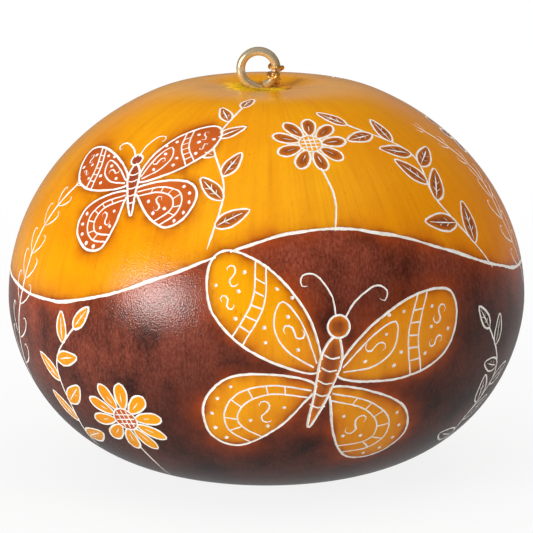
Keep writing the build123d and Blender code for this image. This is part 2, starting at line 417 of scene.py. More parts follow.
horizon = np.linspace(-math.pi, math.pi, HORIZON_STEPS, endpoint=False)
for drift in (0.0, SECOND_STROKE):
    stray = drift * (np.sin(9 * horizon) + np.sin(23 * horizon)) * MM
    cuts.append((np.column_stack([horizon, hill(horizon) + stray]), MAIN_CUT, True, False, 0))
fern([(-78, -12), (-70, 2), (-66, 14), (-57, 24)])
fern([(84, 2), (78, 12), (80, 20), (70, 30)], 8, 3.8)
branch([(-14, 13), (-12, 22), (-19, 30), (-13, 38)], 7, "ember", 0.5)
branch([(62, 7), (50, 18), (52, 26), (34, 33)], 9, "ember", 0.6)
branch([(-60, -21), (-55, -13), (-54, -5), (-46, 1)], 7, "amber", 0.58)
line(spot(-38, -27), [(0, 0), (1.2, 6), (0.6, 13)], STALK_CUT)
branch([(72, -26), (62, -16), (66, -8), (57, 0)], 8, "ground", 0.58)
line(spot(17, 15.5), [(0, 0), (0.8, 5), (-0.4, 11)], STALK_CUT)
daisy(spot(16, 29.5, 0.5), 9, "ember", "amber")
daisy(spot(-36, -12, 0.6, 10), 10, "amber", "russet")
butterfly(spot(-40, 21, 0.74, 24), "russet", "ground")
butterfly(spot(13, -4, 1.2, -13), "amber", "ember")
branch([(150, 16), (140, 24), (146, 31), (134, 37)], 8, "ember", 0.56)
branch([(-170, 3), (-160, 14), (-166, 24), (-154, 32)], 9, "ember", 0.6)
branch([(112, -24), (122, -16), (118, -6), (130, 4)], 9, "amber", 0.62)
branch([(-96, -24), (-104, -15), (-98, -8), (-108, -1)], 8, "ground", 0.58)
fern([(-116, 6), (-110, 16), (-114, 24), (-104, 33)])
daisy(spot(100, 24, 0.55), 9, "ember", "amber")
daisy(spot(-136, -22, 0.6, 12), 10, "amber", "russet")
daisy(spot(88, -17, 0.5, 5), 9, "amber", "russet")
butterfly(spot(-134, 20, 0.76, -22), "russet", "ground")
butterfly(spot(165, -12, 1.05, 15), "amber", "ember")

# Carving: every line is a groove that a gouge cuts through the dyed skin into pale rind, round in section;
# free lines thin towards their loose ends. The stem's hole is bored through the middle of the dent.
CUT_ROUND = 0.58
CUT_LIFT = 0.30
TAPER_RUN = 1.6 * MM
TAPER_END, TAPER_GAIN = 0.55, 0.45
PECK_RADIUS = 0.36 * MM
PECK_LIFT = 0.16 * MM
PECK_SPREAD = (0.8, 1.15)
STEM_TIP_RADIUS = 2.65 * MM
STEM_LENGTH = 8.0 * MM
STEM_TOP_Z = WIDEST_Z + crown(abs(STEM_X), GOURD_RADIUS, CROWN_RISE)
BORE_SIDES = 64

# The carver's hand is unsteady: how far it strays or how much deeper it bites, and how often to a metre.
WOBBLE, WOBBLES = 0.07 * MM, 300
CHATTER, CHATTERS = 0.05 * MM, 1900
PRESS, PRESSES = 0.14, 520
JERK, JERKS = 0.2, 2300
STEADY = 0.8
HAND_SEED = 6
PROD_SEED = 11


def skin_points(places, lift=0.0):
    """Points on the rind, or lifted off it."""
    radius = on_wall(places[:, 1], wall[:, 0])
    x, y = radius * np.sin(places[:, 0]), -radius * np.cos(places[:, 0])
    height = on_wall(places[:, 1], wall[:, 1]) - np.where(places[:, 1] > 0, hollow(x, y), 0.0)
    return np.column_stack([x, y, height]) + lift * skin_normals(places)


def skin_normals(places):
    """Outward directions of the rind at places."""
    radius = on_wall(places[:, 1], wall[:, 0])
    ways = np.column_stack([np.sin(places[:, 0]), -np.cos(places[:, 0])])
    x, y = radius * ways[:, 0], radius * ways[:, 1]
    step = 0.01 * MM
    sunk_x = hollow(x + step, y) - hollow(x - step, y)
    sunk_y = hollow(x, y + step) - hollow(x, y - step)
    sunk = np.column_stack([sunk_x, sunk_y]) * np.where(places[:, 1:] > 0, 1 / (2 * step), 0.0)
    out, up = -on_wall(places[:, 1], wall_slope[:, 1]), on_wall(places[:, 1], wall_slope[:, 0])
    normals = np.column_stack([out[:, None] * ways + up[:, None] * sunk, up])
    return normals / np.linalg.norm(normals, axis=1)[:, None]


def inside(outline, places):
    """Which places lie within a closed outline."""
    middle = outline[:, 0].mean()
    azimuth = (places[:, 0] - middle + math.pi) % (2 * math.pi) - math.pi + middle
    arc = places[:, 1]
    low, high = outline.min(axis=0), outline.max(axis=0)
    found = (azimuth > low[0]) & (azimuth < high[0]) & (arc > low[1]) & (arc < high[1])
    chosen = np.flatnonzero(found)
    if len(chosen) == 0:
        return found
    a, u = azimuth[chosen], arc[chosen]
    odd = np.zeros(len(chosen), bool)
    for (a0, u0), (a1, u1) in zip(outline, np.roll(outline, -1, axis=0)):
        crosses = (u0 > u) != (u1 > u)
        odd[crosses] ^= a[crosses] < (a1 - a0) * (u[crosses] - u0) / (u1 - u0) + a0
    found[chosen] = odd
    return found


def visible_runs(places, closed, layer):
    """Stretches of a line that no nearer shape hides, with whether each end runs out freely."""
    hidden = np.zeros(len(places), bool)
    for outline, tint in shapes[layer:]:
        hidden |= inside(outline, places)
    if not hidden.any():
        return [(places, closed, True, True)]
    if closed:
        first = int(np.argmax(hidden))
        places, hidden = np.roll(places, -first, axis=0), np.roll(hidden, -first)
    runs = []
    start = None
    for index, gone in enumerate([*hidden, True]):
        if not gone and start is None:
            start = index
        if gone and start is not None:
            stretch = places[max(0, start - 1) : index + 1]
            if len(stretch) >= 3:
                runs.append((stretch, False, start == 0, index == len(places)))
            start = None
    return runs


def round_curve(name, radius, resolution):
    """Empty curve, round in section."""
    curve = bpy.data.curves.new(name, "CURVE")
    curve.dimensions = "3D"
    curve.bevel_depth = radius
    curve.bevel_resolution = resolution
    curve.use_fill_caps = True
    return curve


def add_track(curve, count, closed):
    """Track of a number of points on a curve."""
    track = curve.splines.new("POLY")
    track.points.add(count - 1)
    track.use_cyclic_u = closed
    return track.points


def curve_mesh(curve):
    """Mesh of a curve that is done."""
    holder = bpy.data.objects.new(curve.name, curve)
    mesh = bpy.data.meshes.new_from_object(holder)
    bpy.data.objects.remove(holder)
    bpy.data.curves.remove(curve)
    return mesh


def gouge(places, width, closed, free_start, free_end):
    """Solid that the gouge takes out along a line."""
    curve = round_curve("gouge", CUT_ROUND * width, 2 if width >= MAIN_CUT else 1)
    track = add_track(curve, len(places), closed)
    points = skin_points(places, CUT_LIFT * width)
    outward = skin_normals(places)
    run = np.concatenate([[0.0], np.cumsum(np.linalg.norm(np.diff(points, axis=0), axis=1))])
    for index, point in enumerate(map(Vector, points)):
        taper = 1.0
        if not closed:
            from_start = run[index] if free_start else run[-1]
            to_end = run[-1] - run[index] if free_end else run[-1]
            taper = TAPER_END + TAPER_GAIN * min(1.0, min(from_start, to_end) / TAPER_RUN)
        shake = noise.noise_vector(point * WOBBLES) * WOBBLE
        shake += noise.noise_vector(point * CHATTERS) * CHATTER
        shake -= STEADY * shake.dot(Vector(outward[index])) * Vector(outward[index])
        bite = 1.0 + PRESS * noise.noise(point * PRESSES) + JERK * noise.noise(point * JERKS)
        track[index].co = (*(point + shake), 1.0)
        track[index].radius = taper * bite
    solid = curve_mesh(curve)
    chip = bmesh.new()
    chip.from_mesh(solid)
    bmesh.ops.remove_doubles(chip, verts=chip.verts, dist=WELD)
    bmesh.ops.recalc_face_normals(chip, faces=chip.faces)
    for face in chip.faces:
        face.material_index = 0
    chip.to_mesh(solid)
    chip.free()
    return solid


def new_finish(name):
    """Finish whose look comes from its nodes."""
    finish = bpy.data.materials.new(name)
    finish.use_nodes = True
    return finish


def take_out(solid, bared):
    """Adds a solid to what is carved away, with the finish that it lays bare."""
    solid.materials.append(bared)
    chips.objects.link(bpy.data.objects.new("chip", solid))


dyed, grooved, pithy = map(new_finish, ("varnished_rind", "pale_groove", "raw_pith"))
for finish in (dyed, grooved, pithy):
    gourd_mesh.materials.append(finish)
chips = bpy.data.collections.new("chips")
bpy.context.scene.collection.children.link(chips)
noise.seed_set(HAND_SEED)
main_lines, shape_lines = [], []
for places, width, closed, tapered, layer in cuts:
    steps = places if closed else even_steps(places, False)
    for stretch, whole, free_start, free_end in visible_runs(steps, closed, layer):
        take_out(gouge(stretch, width, whole, tapered and free_start, tapered and free_end), grooved)
        if width >= MAIN_CUT:
            main_lines.append(skin_points(stretch))
        elif closed:
            shape_lines.append(skin_points(stretch))
prod = random.Random(PROD_SEED)
for place, layer in pecks:
    if any(inside(outline, place)[0] for outline, tint in shapes[layer:]):
        continue
    pit = bmesh.new()
    bmesh.ops.create_icosphere(pit, subdivisions=1, radius=PECK_RADIUS)
    for vertex in pit.verts:
        vertex.co *= prod.uniform(*PECK_SPREAD)
    bmesh.ops.translate(pit, verts=pit.verts, vec=skin_points(place, PECK_LIFT)[0])
    take_out(as_mesh(pit, "chip"), grooved)
bore = bmesh.new()
bmesh.ops.create_cone(
    bore, cap_ends=True, segments=BORE_SIDES, radius1=STEM_TIP_RADIUS,
    radius2=STEM_RADIUS + (STEM_RADIUS - STEM_TIP_RADIUS) / STEM_LENGTH * DENT_DEPTH,
    depth=STEM_LENGTH + DENT_DEPTH,
)
bmesh.ops.translate(bore, verts=bore.verts, vec=(STEM_X, 0, STEM_TOP_Z + (DENT_DEPTH - STEM_LENGTH) / 2))
take_out(as_mesh(bore, "chip"), pithy)
carve = gourd.modifiers.new("carve", "BOOLEAN")
carve.operation = "DIFFERENCE"
carve.operand_type = "COLLECTION"
carve.collection = chips
carve.solver = "MANIFOLD"
carve.material_mode = "TRANSFER"
evaluated = gourd.evaluated_get(bpy.context.evaluated_depsgraph_get())
carved = bpy.data.meshes.new_from_object(evaluated)
gourd.modifiers.clear()
gourd.data = carved
bpy.data.meshes.remove(gourd_mesh)
for chip in list(chips.objects):
    bpy.data.meshes.remove(chip.data)
bpy.data.collections.remove(chips)

# Dyeing: amber over the whole skin, brown scorched into the ground, russet into some figures, and a soft
# scorched edge along the main lines. The dyes stop at the grooves, which stay pale. Varnish over all.
SCORCH_REACH = 1.5 * MM
STRAIGHT_BAND = 15.0 * MM
FOOT_FACE = 0.2 * MM
# Painted shadow: a soft dark streak on the crown, to the right of the ring, runs between these two points.
SHADOW_STREAK_START, SHADOW_STREAK_END = (1.9, 2.6), (4.4, 5.2)
SHADOW_STREAK_SPREAD = 0.9 * MM
EDGE_REACH = 0.45 * MM
BURN_DEPTH = 18.0 * MM
SCAR_LEAN = 0.12
NO_STEM = 99.0
DYES = ("ground", "russet", "ember")


def wall_places(points):
    """Azimuth and arc of points of the outer wall."""
    azimuth = np.arctan2(points[:, 0], -points[:, 1])
    radius, height = np.hypot(points[:, 0], points[:, 1]), points[:, 2]
    band = np.abs(wall[:, 1] - WIDEST_Z) < STRAIGHT_BAND + MM
    arc = np.interp(-height, -wall[band, 1], wall_arc[band])
    over, under = height > WIDEST_Z + STRAIGHT_BAND, height < WIDEST_Z - STRAIGHT_BAND
    arc[over] = np.interp(radius[over], wall[: widest + 1, 0], wall_arc[: widest + 1])
    arc[under] = np.interp(-radius[under], -wall[widest:, 0], wall_arc[widest:])
    return np.column_stack([azimuth, arc])


def read(items, name, width, kind=float):
    """One property of all the items of a mesh, as rows."""
    values = np.empty(len(items) * width, kind)
    items.foreach_get(name, values)
    return values.reshape(-1, width) if width > 1 else values


def write(name, kind, domain, field, values):
    """A painted layer of the carved gourd."""
    layer = carved.attributes.new(name, kind, domain)
    layer.data.foreach_set(field, np.ascontiguousarray(values).ravel())


centres = read(carved.polygons, "center", 3)
slots = read(carved.polygons, "material_index", 1, int)
face_places = wall_places(centres)
laid = np.where(face_places[:, 1] < hill(face_places[:, 0]), "ground", "amber")
for outline, tint in shapes:
    laid[inside(outline, face_places)] = tint
for tint in DYES:
    write(f"{tint}_dye", "FLOAT", "FACE", "value", (laid == tint).astype(float))
points = read(carved.vertices, "co", 3)
places = wall_places(points)


def closeness(lines, cut, reach):
    """How near each point lies to the edge of the nearest line, from 1 at the edge towards 0."""
    line_points = np.concatenate(lines)
    tree = kdtree.KDTree(len(line_points))
    for index, point in enumerate(line_points):
        tree.insert(point, index)
    tree.balance()
    gap = np.array([tree.find(point)[2] for point in points]) - cut / 2
    return np.exp(-np.maximum(gap, 0.0) / reach)


write("scorch", "FLOAT", "POINT", "value", closeness(main_lines, MAIN_CUT, SCORCH_REACH))
write("edge", "FLOAT", "POINT", "value", closeness(main_lines + shape_lines, FINE_CUT, EDGE_REACH))
burn = np.clip((hill(places[:, 0]) - places[:, 1]) / BURN_DEPTH, 0.0, 1.0)
write("burn", "FLOAT", "POINT", "value", burn)
aside, ahead = np.sin(places[:, 0]) * GOURD_RADIUS, -np.cos(places[:, 0]) * GOURD_RADIUS
fibre_way = np.column_stack([aside, ahead, places[:, 1]])
write("fibre_way", "FLOAT_VECTOR", "POINT", "vector", fibre_way)
stem_gap = np.hypot(points[:, 0] - STEM_X, points[:, 1]) - STEM_RADIUS
stem_gap += SCAR_LEAN * points[:, 0]
on_crown = points[:, 2] > WIDEST_Z
write("stem_gap", "FLOAT", "POINT", "value", np.where(on_crown, stem_gap / MM, NO_STEM))
# Painted shadow streak on the crown, fading with the distance from its line.
shadow_streak_way = (np.array(SHADOW_STREAK_END) - SHADOW_STREAK_START) * MM
offset = points[:, :2] - np.array(SHADOW_STREAK_START) * MM
share = np.clip(offset @ shadow_streak_way / (shadow_streak_way @ shadow_streak_way), 0, 1)
shadow_streak_gap = np.linalg.norm(offset - share[:, None] * shadow_streak_way, axis=1)
painted_shadow_streak = np.where(on_crown, np.exp(-((shadow_streak_gap / SHADOW_STREAK_SPREAD) ** 2)), 0.0)
write("painted_shadow_streak", "FLOAT", "POINT", "value", painted_shadow_streak)

# The varnished skin keeps the round of the blank across its cut faces, and the grooves keep their own.
loop_vertex = read(carved.loops, "vertex_index", 1, int)
loop_face = np.repeat(np.arange(len(slots)), read(carved.polygons, "loop_total", 1, int))
face_normals = read(carved.polygons, "normal", 3)
weighted = face_normals * read(carved.polygons, "area", 1)[:, None]
normals = face_normals[loop_face]
in_groove = slots[loop_face] == GROOVE
groove_sum = np.zeros_like(points)
np.add.at(groove_sum, loop_vertex[in_groove], weighted[loop_face[in_groove]])
normals[in_groove] = groove_sum[loop_vertex[in_groove]]
on_skin = (slots[loop_face] == RIND) & (centres[loop_face, 2] > FOOT_FACE)
normals[on_skin] = skin_normals(places)[loop_vertex[on_skin]]
normals /= np.linalg.norm(normals, axis=1)[:, None]
carved.polygons.foreach_set("use_smooth", np.ones(len(slots), bool))
carved.normals_split_custom_set(normals.tolist())

# Crown and belly are unrolled as two round charts, and the hidden inside as a small one in a corner.
CHART = 0.285
CHART_EDGE = 0.005
INSIDE_CHART = 0.08
INSIDE_TOP, INSIDE_FLOOR = (0.09, 0.09), (0.27, 0.09)
chart_map = carved.uv_layers.new(name="OFBake")
loop_places = places[loop_vertex]
top_share = (TOP_ARC - loop_places[:, 1]) / TOP_ARC
foot_share = (loop_places[:, 1] - FOOT_ARC) / -FOOT_ARC
foot_radius = FOOT_RADIUS / (FOOT_RADIUS - FOOT_ARC)
foot_share = foot_radius + (1 - foot_radius) * foot_share
flat = centres[loop_face, 2] <= FOOT_FACE
foot_share[flat] = foot_radius * np.hypot(*points[loop_vertex[flat], :2].T) / FOOT_RADIUS
upper = face_places[loop_face, 1] > 0
hidden = slots[loop_face] == PITH
reach = np.where(upper, top_share, foot_share) * CHART
near_edge, far_edge = CHART + CHART_EDGE, 1 - CHART_EDGE - CHART
middle = np.where(upper[:, None], (near_edge, far_edge), (far_edge, near_edge))
reach[hidden] = np.hypot(*points[loop_vertex[hidden], :2].T) / GOURD_RADIUS * INSIDE_CHART
middle[hidden] = np.where(upper[hidden][:, None], INSIDE_TOP, INSIDE_FLOOR)
spread = np.column_stack([np.sin(loop_places[:, 0]), np.cos(loop_places[:, 0])])
chart_map.data.foreach_set("uv", (middle + reach[:, None] * spread).ravel())
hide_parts("gourd_shell")
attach(gourd, "gourd")


def dye(red, green, blue):
    """Colour as the eye reads it, from 0 to 255, given as light."""
    share = np.array([red, green, blue]) / 255
    return (*np.where(share <= 0.04045, share / 12.92, ((share + 0.055) / 1.055) ** 2.4), 1.0)


def node(material, kind, values=(), **settings):
    """Shader node with its settings and its inputs, each a value or another node's output."""
    made = material.node_tree.nodes.new(kind)
    for name, value in settings.items():
        setattr(made, name, value)
    for socket, value in dict(values).items():
        if isinstance(value, bpy.types.NodeSocket):
            material.node_tree.links.new(value, made.inputs[socket])
        else:
            made.inputs[socket].default_value = value
    return made


def grain(material, stretch, scale, detail=4.0, rough=0.55, way=None):
    """Noise over the piece, with about scale features to a millimetre, stretched by three factors."""
    way = way or node(material, "ShaderNodeTexCoord").outputs["Object"]
    millimetres = tuple(factor / MM for factor in stretch)
    mapped = node(material, "ShaderNodeMapping", {"Vector": way, "Scale": millimetres}).outputs[0]
    values = {"Vector": mapped, "Scale": scale, "Detail": detail, "Roughness": rough}
    return node(material, "ShaderNodeTexNoise", values).outputs["Fac"]


def ramp(material, fac, low, high, start=0.0, end=1.0):
    """Fac stretched from one range to another, held at its ends."""
    values = {"Value": fac, "From Min": low, "From Max": high, "To Min": start, "To Max": end}
    return node(material, "ShaderNodeMapRange", values).outputs["Result"]


def blend(material, fac, first, second):
    """Two colours mixed."""
    return node(material, "ShaderNodeMix", {0: fac, 6: first, 7: second}, data_type="RGBA").outputs[2]


def maths(material, operation, first, second):
    """Two values worked into one."""
    return node(material, "ShaderNodeMath", {0: first, 1: second}, operation=operation).outputs[0]


def product(material, first, second):
    """Two values multiplied."""
    return maths(material, "MULTIPLY", first, second)


def total(material, first, second):
    """Two values added."""
    return maths(material, "ADD", first, second)


def painted(material, name, output="Fac"):
    """Layer painted on the mesh."""
    return node(material, "ShaderNodeAttribute", attribute_name=name).outputs[output]


def coat(material, colour, rough, height, depth, **sockets):
    """Ends a material: its colour, its roughness and a relief of a depth in metres."""
    shader = material.node_tree.nodes["Principled BSDF"]
    bump = node(material, "ShaderNodeBump", {"Strength": 1.0, "Distance": depth, "Height": height})
    for name, value in {"Base Color": colour, "Roughness": rough, "Normal": bump.outputs[0]}.items():
        material.node_tree.links.new(value, shader.inputs[name])
    for name, value in sockets.items():
        shader.inputs[name.replace("_", " ")].default_value = value


HONEY, AMBER, SHADED_ORANGE = dye(252, 174, 2), dye(242, 154, 1), dye(234, 128, 1)
PALE_STREAK, DARK_STREAK, DARK_SPECK = dye(224, 130, 2), dye(208, 114, 4), dye(84, 40, 12)
TOASTED, CHARRED = dye(196, 86, 8), dye(112, 44, 8)
SCAR_YELLOW, SHADOW_BROWN = dye(246, 194, 22), dye(120, 66, 20)
HIGH_BROWN, LOW_BROWN = dye(138, 58, 38), dye(80, 34, 24)
HIGH_SOOT, LOW_SOOT = dye(66, 28, 22), dye(32, 15, 12)
HIGH_FLECK, LOW_FLECK = dye(190, 102, 76), dye(96, 54, 42)
BROWN_EDGE, RUSSET_EDGE, EMBER_EDGE = dye(172, 68, 14), dye(150, 60, 18), dye(212, 116, 18)
RUSSET, DULL_RUSSET, EMBER = dye(212, 104, 34), dye(194, 86, 28), dye(122, 50, 30)
CHALK, DUSTY_CHALK = dye(254, 252, 246), dye(232, 222, 204)
PALE_PITH, TAN_PITH = dye(214, 190, 146), dye(176, 146, 102)
CHAR_POWER = 5.0
along = painted(dyed, "fibre_way", "Vector")
cloud = grain(dyed, (1, 1, 1), 0.07, 5)
streak = grain(dyed, (1, 1, 0.05), 1.5, 3, way=along)
broad_streak = grain(dyed, (1, 1, 0.1), 0.45, 3, way=along)
speck = grain(dyed, (1, 1, 0.4), 2.6, 3, way=along)
on_gourd = node(dyed, "ShaderNodeTexCoord").outputs["Object"]
dimple = node(dyed, "ShaderNodeTexVoronoi", {"Vector": on_gourd, "Scale": 4.8 / MM}).outputs["Distance"]
pebble = product(dyed, dimple, dimple)
patch = grain(dyed, (1, 1, 1), 0.22, 3)
scorch = painted(dyed, "scorch")
glow = product(dyed, scorch, ramp(dyed, patch, 0.38, 0.62, 0.3, 0.95))
close_scorch = maths(dyed, "POWER", scorch, CHAR_POWER)
char = product(dyed, close_scorch, ramp(dyed, patch, 0.35, 0.65, 0.35, 0.9))
amber = blend(dyed, ramp(dyed, cloud, 0.35, 0.7), HONEY, AMBER)
rightward = node(dyed, "ShaderNodeSeparateXYZ", {0: on_gourd}).outputs[0]
# Painted shade: the amber turns a deeper, darker orange towards the gourd's right side, away from the key
# light.
right_painted_shade = ramp(dyed, rightward, 0.2 * GOURD_RADIUS, 0.95 * GOURD_RADIUS, 0.0, 0.8)
amber = blend(dyed, right_painted_shade, amber, SHADED_ORANGE)
amber = blend(dyed, ramp(dyed, broad_streak, 0.45, 0.75, 0.0, 0.3), amber, PALE_STREAK)
amber = blend(dyed, ramp(dyed, streak, 0.5, 0.8, 0.0, 0.35), amber, DARK_STREAK)
amber = blend(dyed, glow, amber, TOASTED)
amber = blend(dyed, char, amber, CHARRED)
scar_edge = total(dyed, painted(dyed, "stem_gap"), product(dyed, streak, 2.4))
amber = blend(dyed, ramp(dyed, scar_edge, 0.9, 3.0, 0.8, 0.0), amber, SCAR_YELLOW)
# Painted shadow darkens the amber along the streak on the crown.
amber = blend(dyed, product(dyed, painted(dyed, "painted_shadow_streak"), 0.5), amber, SHADOW_BROWN)
blot = grain(dyed, (1, 1, 0.8), 0.15, 5, 0.55)
# Painted shade: the brown is darkened towards the gourd's right side, away from the key light, by adding
# to the burn.
right_painted_shade_brown = ramp(dyed, rightward, 0.1 * GOURD_RADIUS, 0.8 * GOURD_RADIUS, 0.0, 0.5)
burn = total(dyed, painted(dyed, "burn"), right_painted_shade_brown)
light_burn = blend(dyed, burn, HIGH_BROWN, LOW_BROWN)
deep_burn = blend(dyed, burn, HIGH_SOOT, LOW_SOOT)
brown = blend(dyed, ramp(dyed, blot, 0.36, 0.6), deep_burn, light_burn)
brown = blend(dyed, ramp(dyed, streak, 0.42, 0.72, 0.0, 0.4), brown, deep_burn)
mottle = grain(dyed, (1, 1, 0.5), 3.2, 3, 0.75, way=along)
clear_of_soot = ramp(dyed, blot, 0.34, 0.6, 0.3, 1.0)
flecks = product(dyed, ramp(dyed, mottle, 0.4, 0.68, 0.0, 0.7), clear_of_soot)
brown = blend(dyed, flecks, brown, blend(dyed, burn, HIGH_FLECK, LOW_FLECK))
brown = blend(dyed, product(dyed, glow, 0.85), brown, BROWN_EDGE)
russet = blend(dyed, ramp(dyed, cloud, 0.35, 0.65), RUSSET, DULL_RUSSET)
russet = blend(dyed, product(dyed, glow, 0.5), russet, RUSSET_EDGE)
ember = blend(dyed, painted(dyed, "edge"), EMBER, EMBER_EDGE)
skin = blend(dyed, painted(dyed, "ground_dye"), amber, brown)
skin = blend(dyed, painted(dyed, "russet_dye"), skin, russet)
skin = blend(dyed, painted(dyed, "ember_dye"), skin, ember)
skin = blend(dyed, ramp(dyed, speck, 0.64, 0.76, 0.0, 0.3), skin, DARK_SPECK)
gloss = ramp(dyed, speck, 0.3, 0.7, 0.13, 0.19)
coat(dyed, skin, gloss, pebble, 0.02 * MM, Specular_IOR_Level=0.42)
chalk = grain(grooved, (1, 1, 1), 1.1, 4)
pale = blend(grooved, ramp(grooved, chalk, 0.4, 0.75), CHALK, DUSTY_CHALK)
coat(grooved, pale, ramp(grooved, chalk, 0.3, 0.7, 0.7, 0.9), chalk, 0.04 * MM)
fibre = grain(pithy, (1, 1, 0.3), 0.8, 5)
raw = blend(pithy, fibre, PALE_PITH, TAN_PITH)
coat(pithy, raw, ramp(pithy, fibre, 0.3, 0.7, 0.75, 0.95), fibre, 0.2 * MM)

# Stem: the stub of the fruit's own stalk, cut level with the dent and left bare, so that its yellow fibres
# fray over the edge of the rind. A ragged collar of torn fibre rings the stub.
COLLAR_RADIUS = 3.75 * MM
COLLAR_WIDTH = 0.42 * MM
COLLAR_HEIGHT = 0.16 * MM
COLLAR_Z = STEM_TOP_Z + 0.12 * MM
COLLAR_THIN, COLLAR_THICK = 0.3, 1.1
COLLAR_TEAR = 0.45
COLLAR_BUMP = 0.1 * MM
COLLAR_SINK = 0.25 * MM
COLLAR_SIDES, COLLAR_COLUMNS = 12, 160
COLLAR_TEARS, COLLAR_SHREDS, COLLAR_SWELLS, COLLAR_GRAIN = 9, 30, 3, 2600
FIBRES = 110
FIBRE_ROOT, FIBRE_TIP = (1.5, 3.2), (3.6, 4.4)
FIBRE_THICK, FIBRE_TIP_RADIUS = (0.05, 0.13), 0.02 * MM
FIBRE_SWAY = 0.5
WISP_SHARE, WISP_LENGTH = 0.2, 0.9
FRAY_SEED = 5
YELLOW, DEEP_YELLOW = dye(255, 222, 24), dye(240, 184, 10)
DRY_BROWN, WORN_AMBER = dye(168, 116, 24), dye(224, 150, 12)
fray = random.Random(FRAY_SEED)
scar = bmesh.new()
bmesh.ops.create_circle(scar, cap_ends=False, segments=COLLAR_SIDES, radius=1.0)
bmesh.ops.scale(scar, vec=(COLLAR_WIDTH, COLLAR_HEIGHT, 1), verts=scar.verts)
bmesh.ops.rotate(scar, matrix=Matrix.Rotation(math.pi / 2, 3, "X"), verts=scar.verts)
bmesh.ops.translate(scar, vec=(COLLAR_RADIUS, 0, COLLAR_Z), verts=scar.verts)
bmesh.ops.spin(
    scar, geom=scar.verts[:] + scar.edges[:], cent=(0, 0, 0), axis=(0, 0, 1),
    angle=2 * math.pi, steps=COLLAR_COLUMNS, use_merge=True,
)
bmesh.ops.remove_doubles(scar, verts=scar.verts, dist=WELD)
for vertex in scar.verts:
    bearing = vertex.co.xy.normalized()
    tear = noise.noise(Vector((*(bearing * COLLAR_TEARS), 0.3)))
    tear += 0.6 * noise.noise(Vector((*(bearing * COLLAR_SHREDS), 4.0)))
    middle = Vector((*(bearing * COLLAR_RADIUS), COLLAR_Z))
    swell = noise.noise(Vector((*(bearing * COLLAR_SWELLS), 7.0)))
    thick = 0.5 + 0.9 * swell - 0.6 * max(0.0, bearing.x)
    thick = min(COLLAR_THICK, max(COLLAR_THIN, thick))
    vertex.co = middle.lerp(vertex.co, thick)
    vertex.co.xy += bearing * COLLAR_TEAR * MM * tear
    bump = COLLAR_BUMP * noise.noise(vertex.co * COLLAR_GRAIN) + COLLAR_BUMP * tear
    vertex.co.z += bump - COLLAR_SINK * (COLLAR_THICK - thick)
    vertex.co.x += STEM_X
for number in range(FIBRES):
    bearing = 2 * math.pi * (number + fray.uniform(-0.4, 0.4)) / FIBRES
    way = Vector((math.cos(bearing), math.sin(bearing), 0))
    if fray.random() < 0.8 * way.x:
        continue
    wisp = WISP_LENGTH if fray.random() < WISP_SHARE else 0.0
    inner = fray.uniform(*FIBRE_ROOT) * MM
    outer = (fray.uniform(*FIBRE_TIP) - 0.5 * way.x + wisp) * MM
    root = Vector((STEM_X, 0, STEM_TOP_Z + fray.uniform(0.02, 0.12) * MM)) + way * inner
    tip = Vector((STEM_X, 0, 0)) + way * outer
    tip.z = WIDEST_Z + crown(tip.xy.length, GOURD_RADIUS, CROWN_RISE) + fray.uniform(0.0, 0.16) * MM
    tip += Vector((-way.y, way.x, 0)) * fray.uniform(-FIBRE_SWAY, FIBRE_SWAY) * MM
    strand = bmesh.ops.create_cone(
        scar, cap_ends=True, segments=5, radius1=fray.uniform(*FIBRE_THICK) * MM,
        radius2=FIBRE_TIP_RADIUS, depth=(tip - root).length,
    )["verts"]
    turn = (tip - root).to_track_quat("Z", "Y").to_matrix().to_4x4()
    bmesh.ops.transform(scar, matrix=Matrix.Translation((root + tip) / 2) @ turn, verts=strand)
bmesh.ops.recalc_face_normals(scar, faces=scar.faces)
for face in scar.faces:
    face.smooth = True
stem_fibres = put("stem_fibres", as_mesh(scar, "stem_fibres"))
fibrous = new_finish("stem_fibre")
tuft = grain(fibrous, (1, 1, 1), 1.3, 4)
patch = grain(fibrous, (1, 1, 1), 0.35, 2)
yellow = blend(fibrous, ramp(fibrous, tuft, 0.3, 0.7), YELLOW, DEEP_YELLOW)
yellow = blend(fibrous, ramp(fibrous, patch, 0.52, 0.74, 0.0, 0.6), yellow, DRY_BROWN)
place = node(fibrous, "ShaderNodeTexCoord").outputs["Object"]
apart = node(fibrous, "ShaderNodeSeparateXYZ", {0: place}).outputs
frontward = total(fibrous, product(fibrous, apart[0], -0.5), product(fibrous, apart[1], -0.8))
bare = total(fibrous, frontward, product(fibrous, tuft, 2.5 * MM))
yellow = blend(fibrous, ramp(fibrous, bare, 0.65 * MM, 2.45 * MM), WORN_AMBER, yellow)
coat(fibrous, yellow, ramp(fibrous, tuft, 0.3, 0.7, 0.5, 0.8), tuft, 0.12 * MM)
stem_fibres.data.materials.append(fibrous)
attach(stem_fibres, "gourd")


def dress(name, material):
    """Gives a construction node its finish."""
    for slot in bpy.data.objects[name].material_slots:
        slot.material = material


dress("stem_core", fibrous)

# Screw eye: pale brass wire, drawn bright, bent to an open ring and turned into the stub by its shank.
# Handling has dulled it in patches.
BRIGHT_BRASS, DULL_BRASS = dye(255, 238, 202), dye(240, 206, 150)
brass = new_finish("brass_wire")
tarnish = grain(brass, (1, 1, 1), 0.6, 4)
drawn = grain(brass, (1, 1, 1), 4.0, 3)
metal = blend(brass, ramp(brass, tarnish, 0.4, 0.7), BRIGHT_BRASS, DULL_BRASS)
coat(brass, metal, ramp(brass, tarnish, 0.35, 0.7, 0.22, 0.32), drawn, 0.006 * MM, Metallic=0.7)
dress("screw_eye", brass)

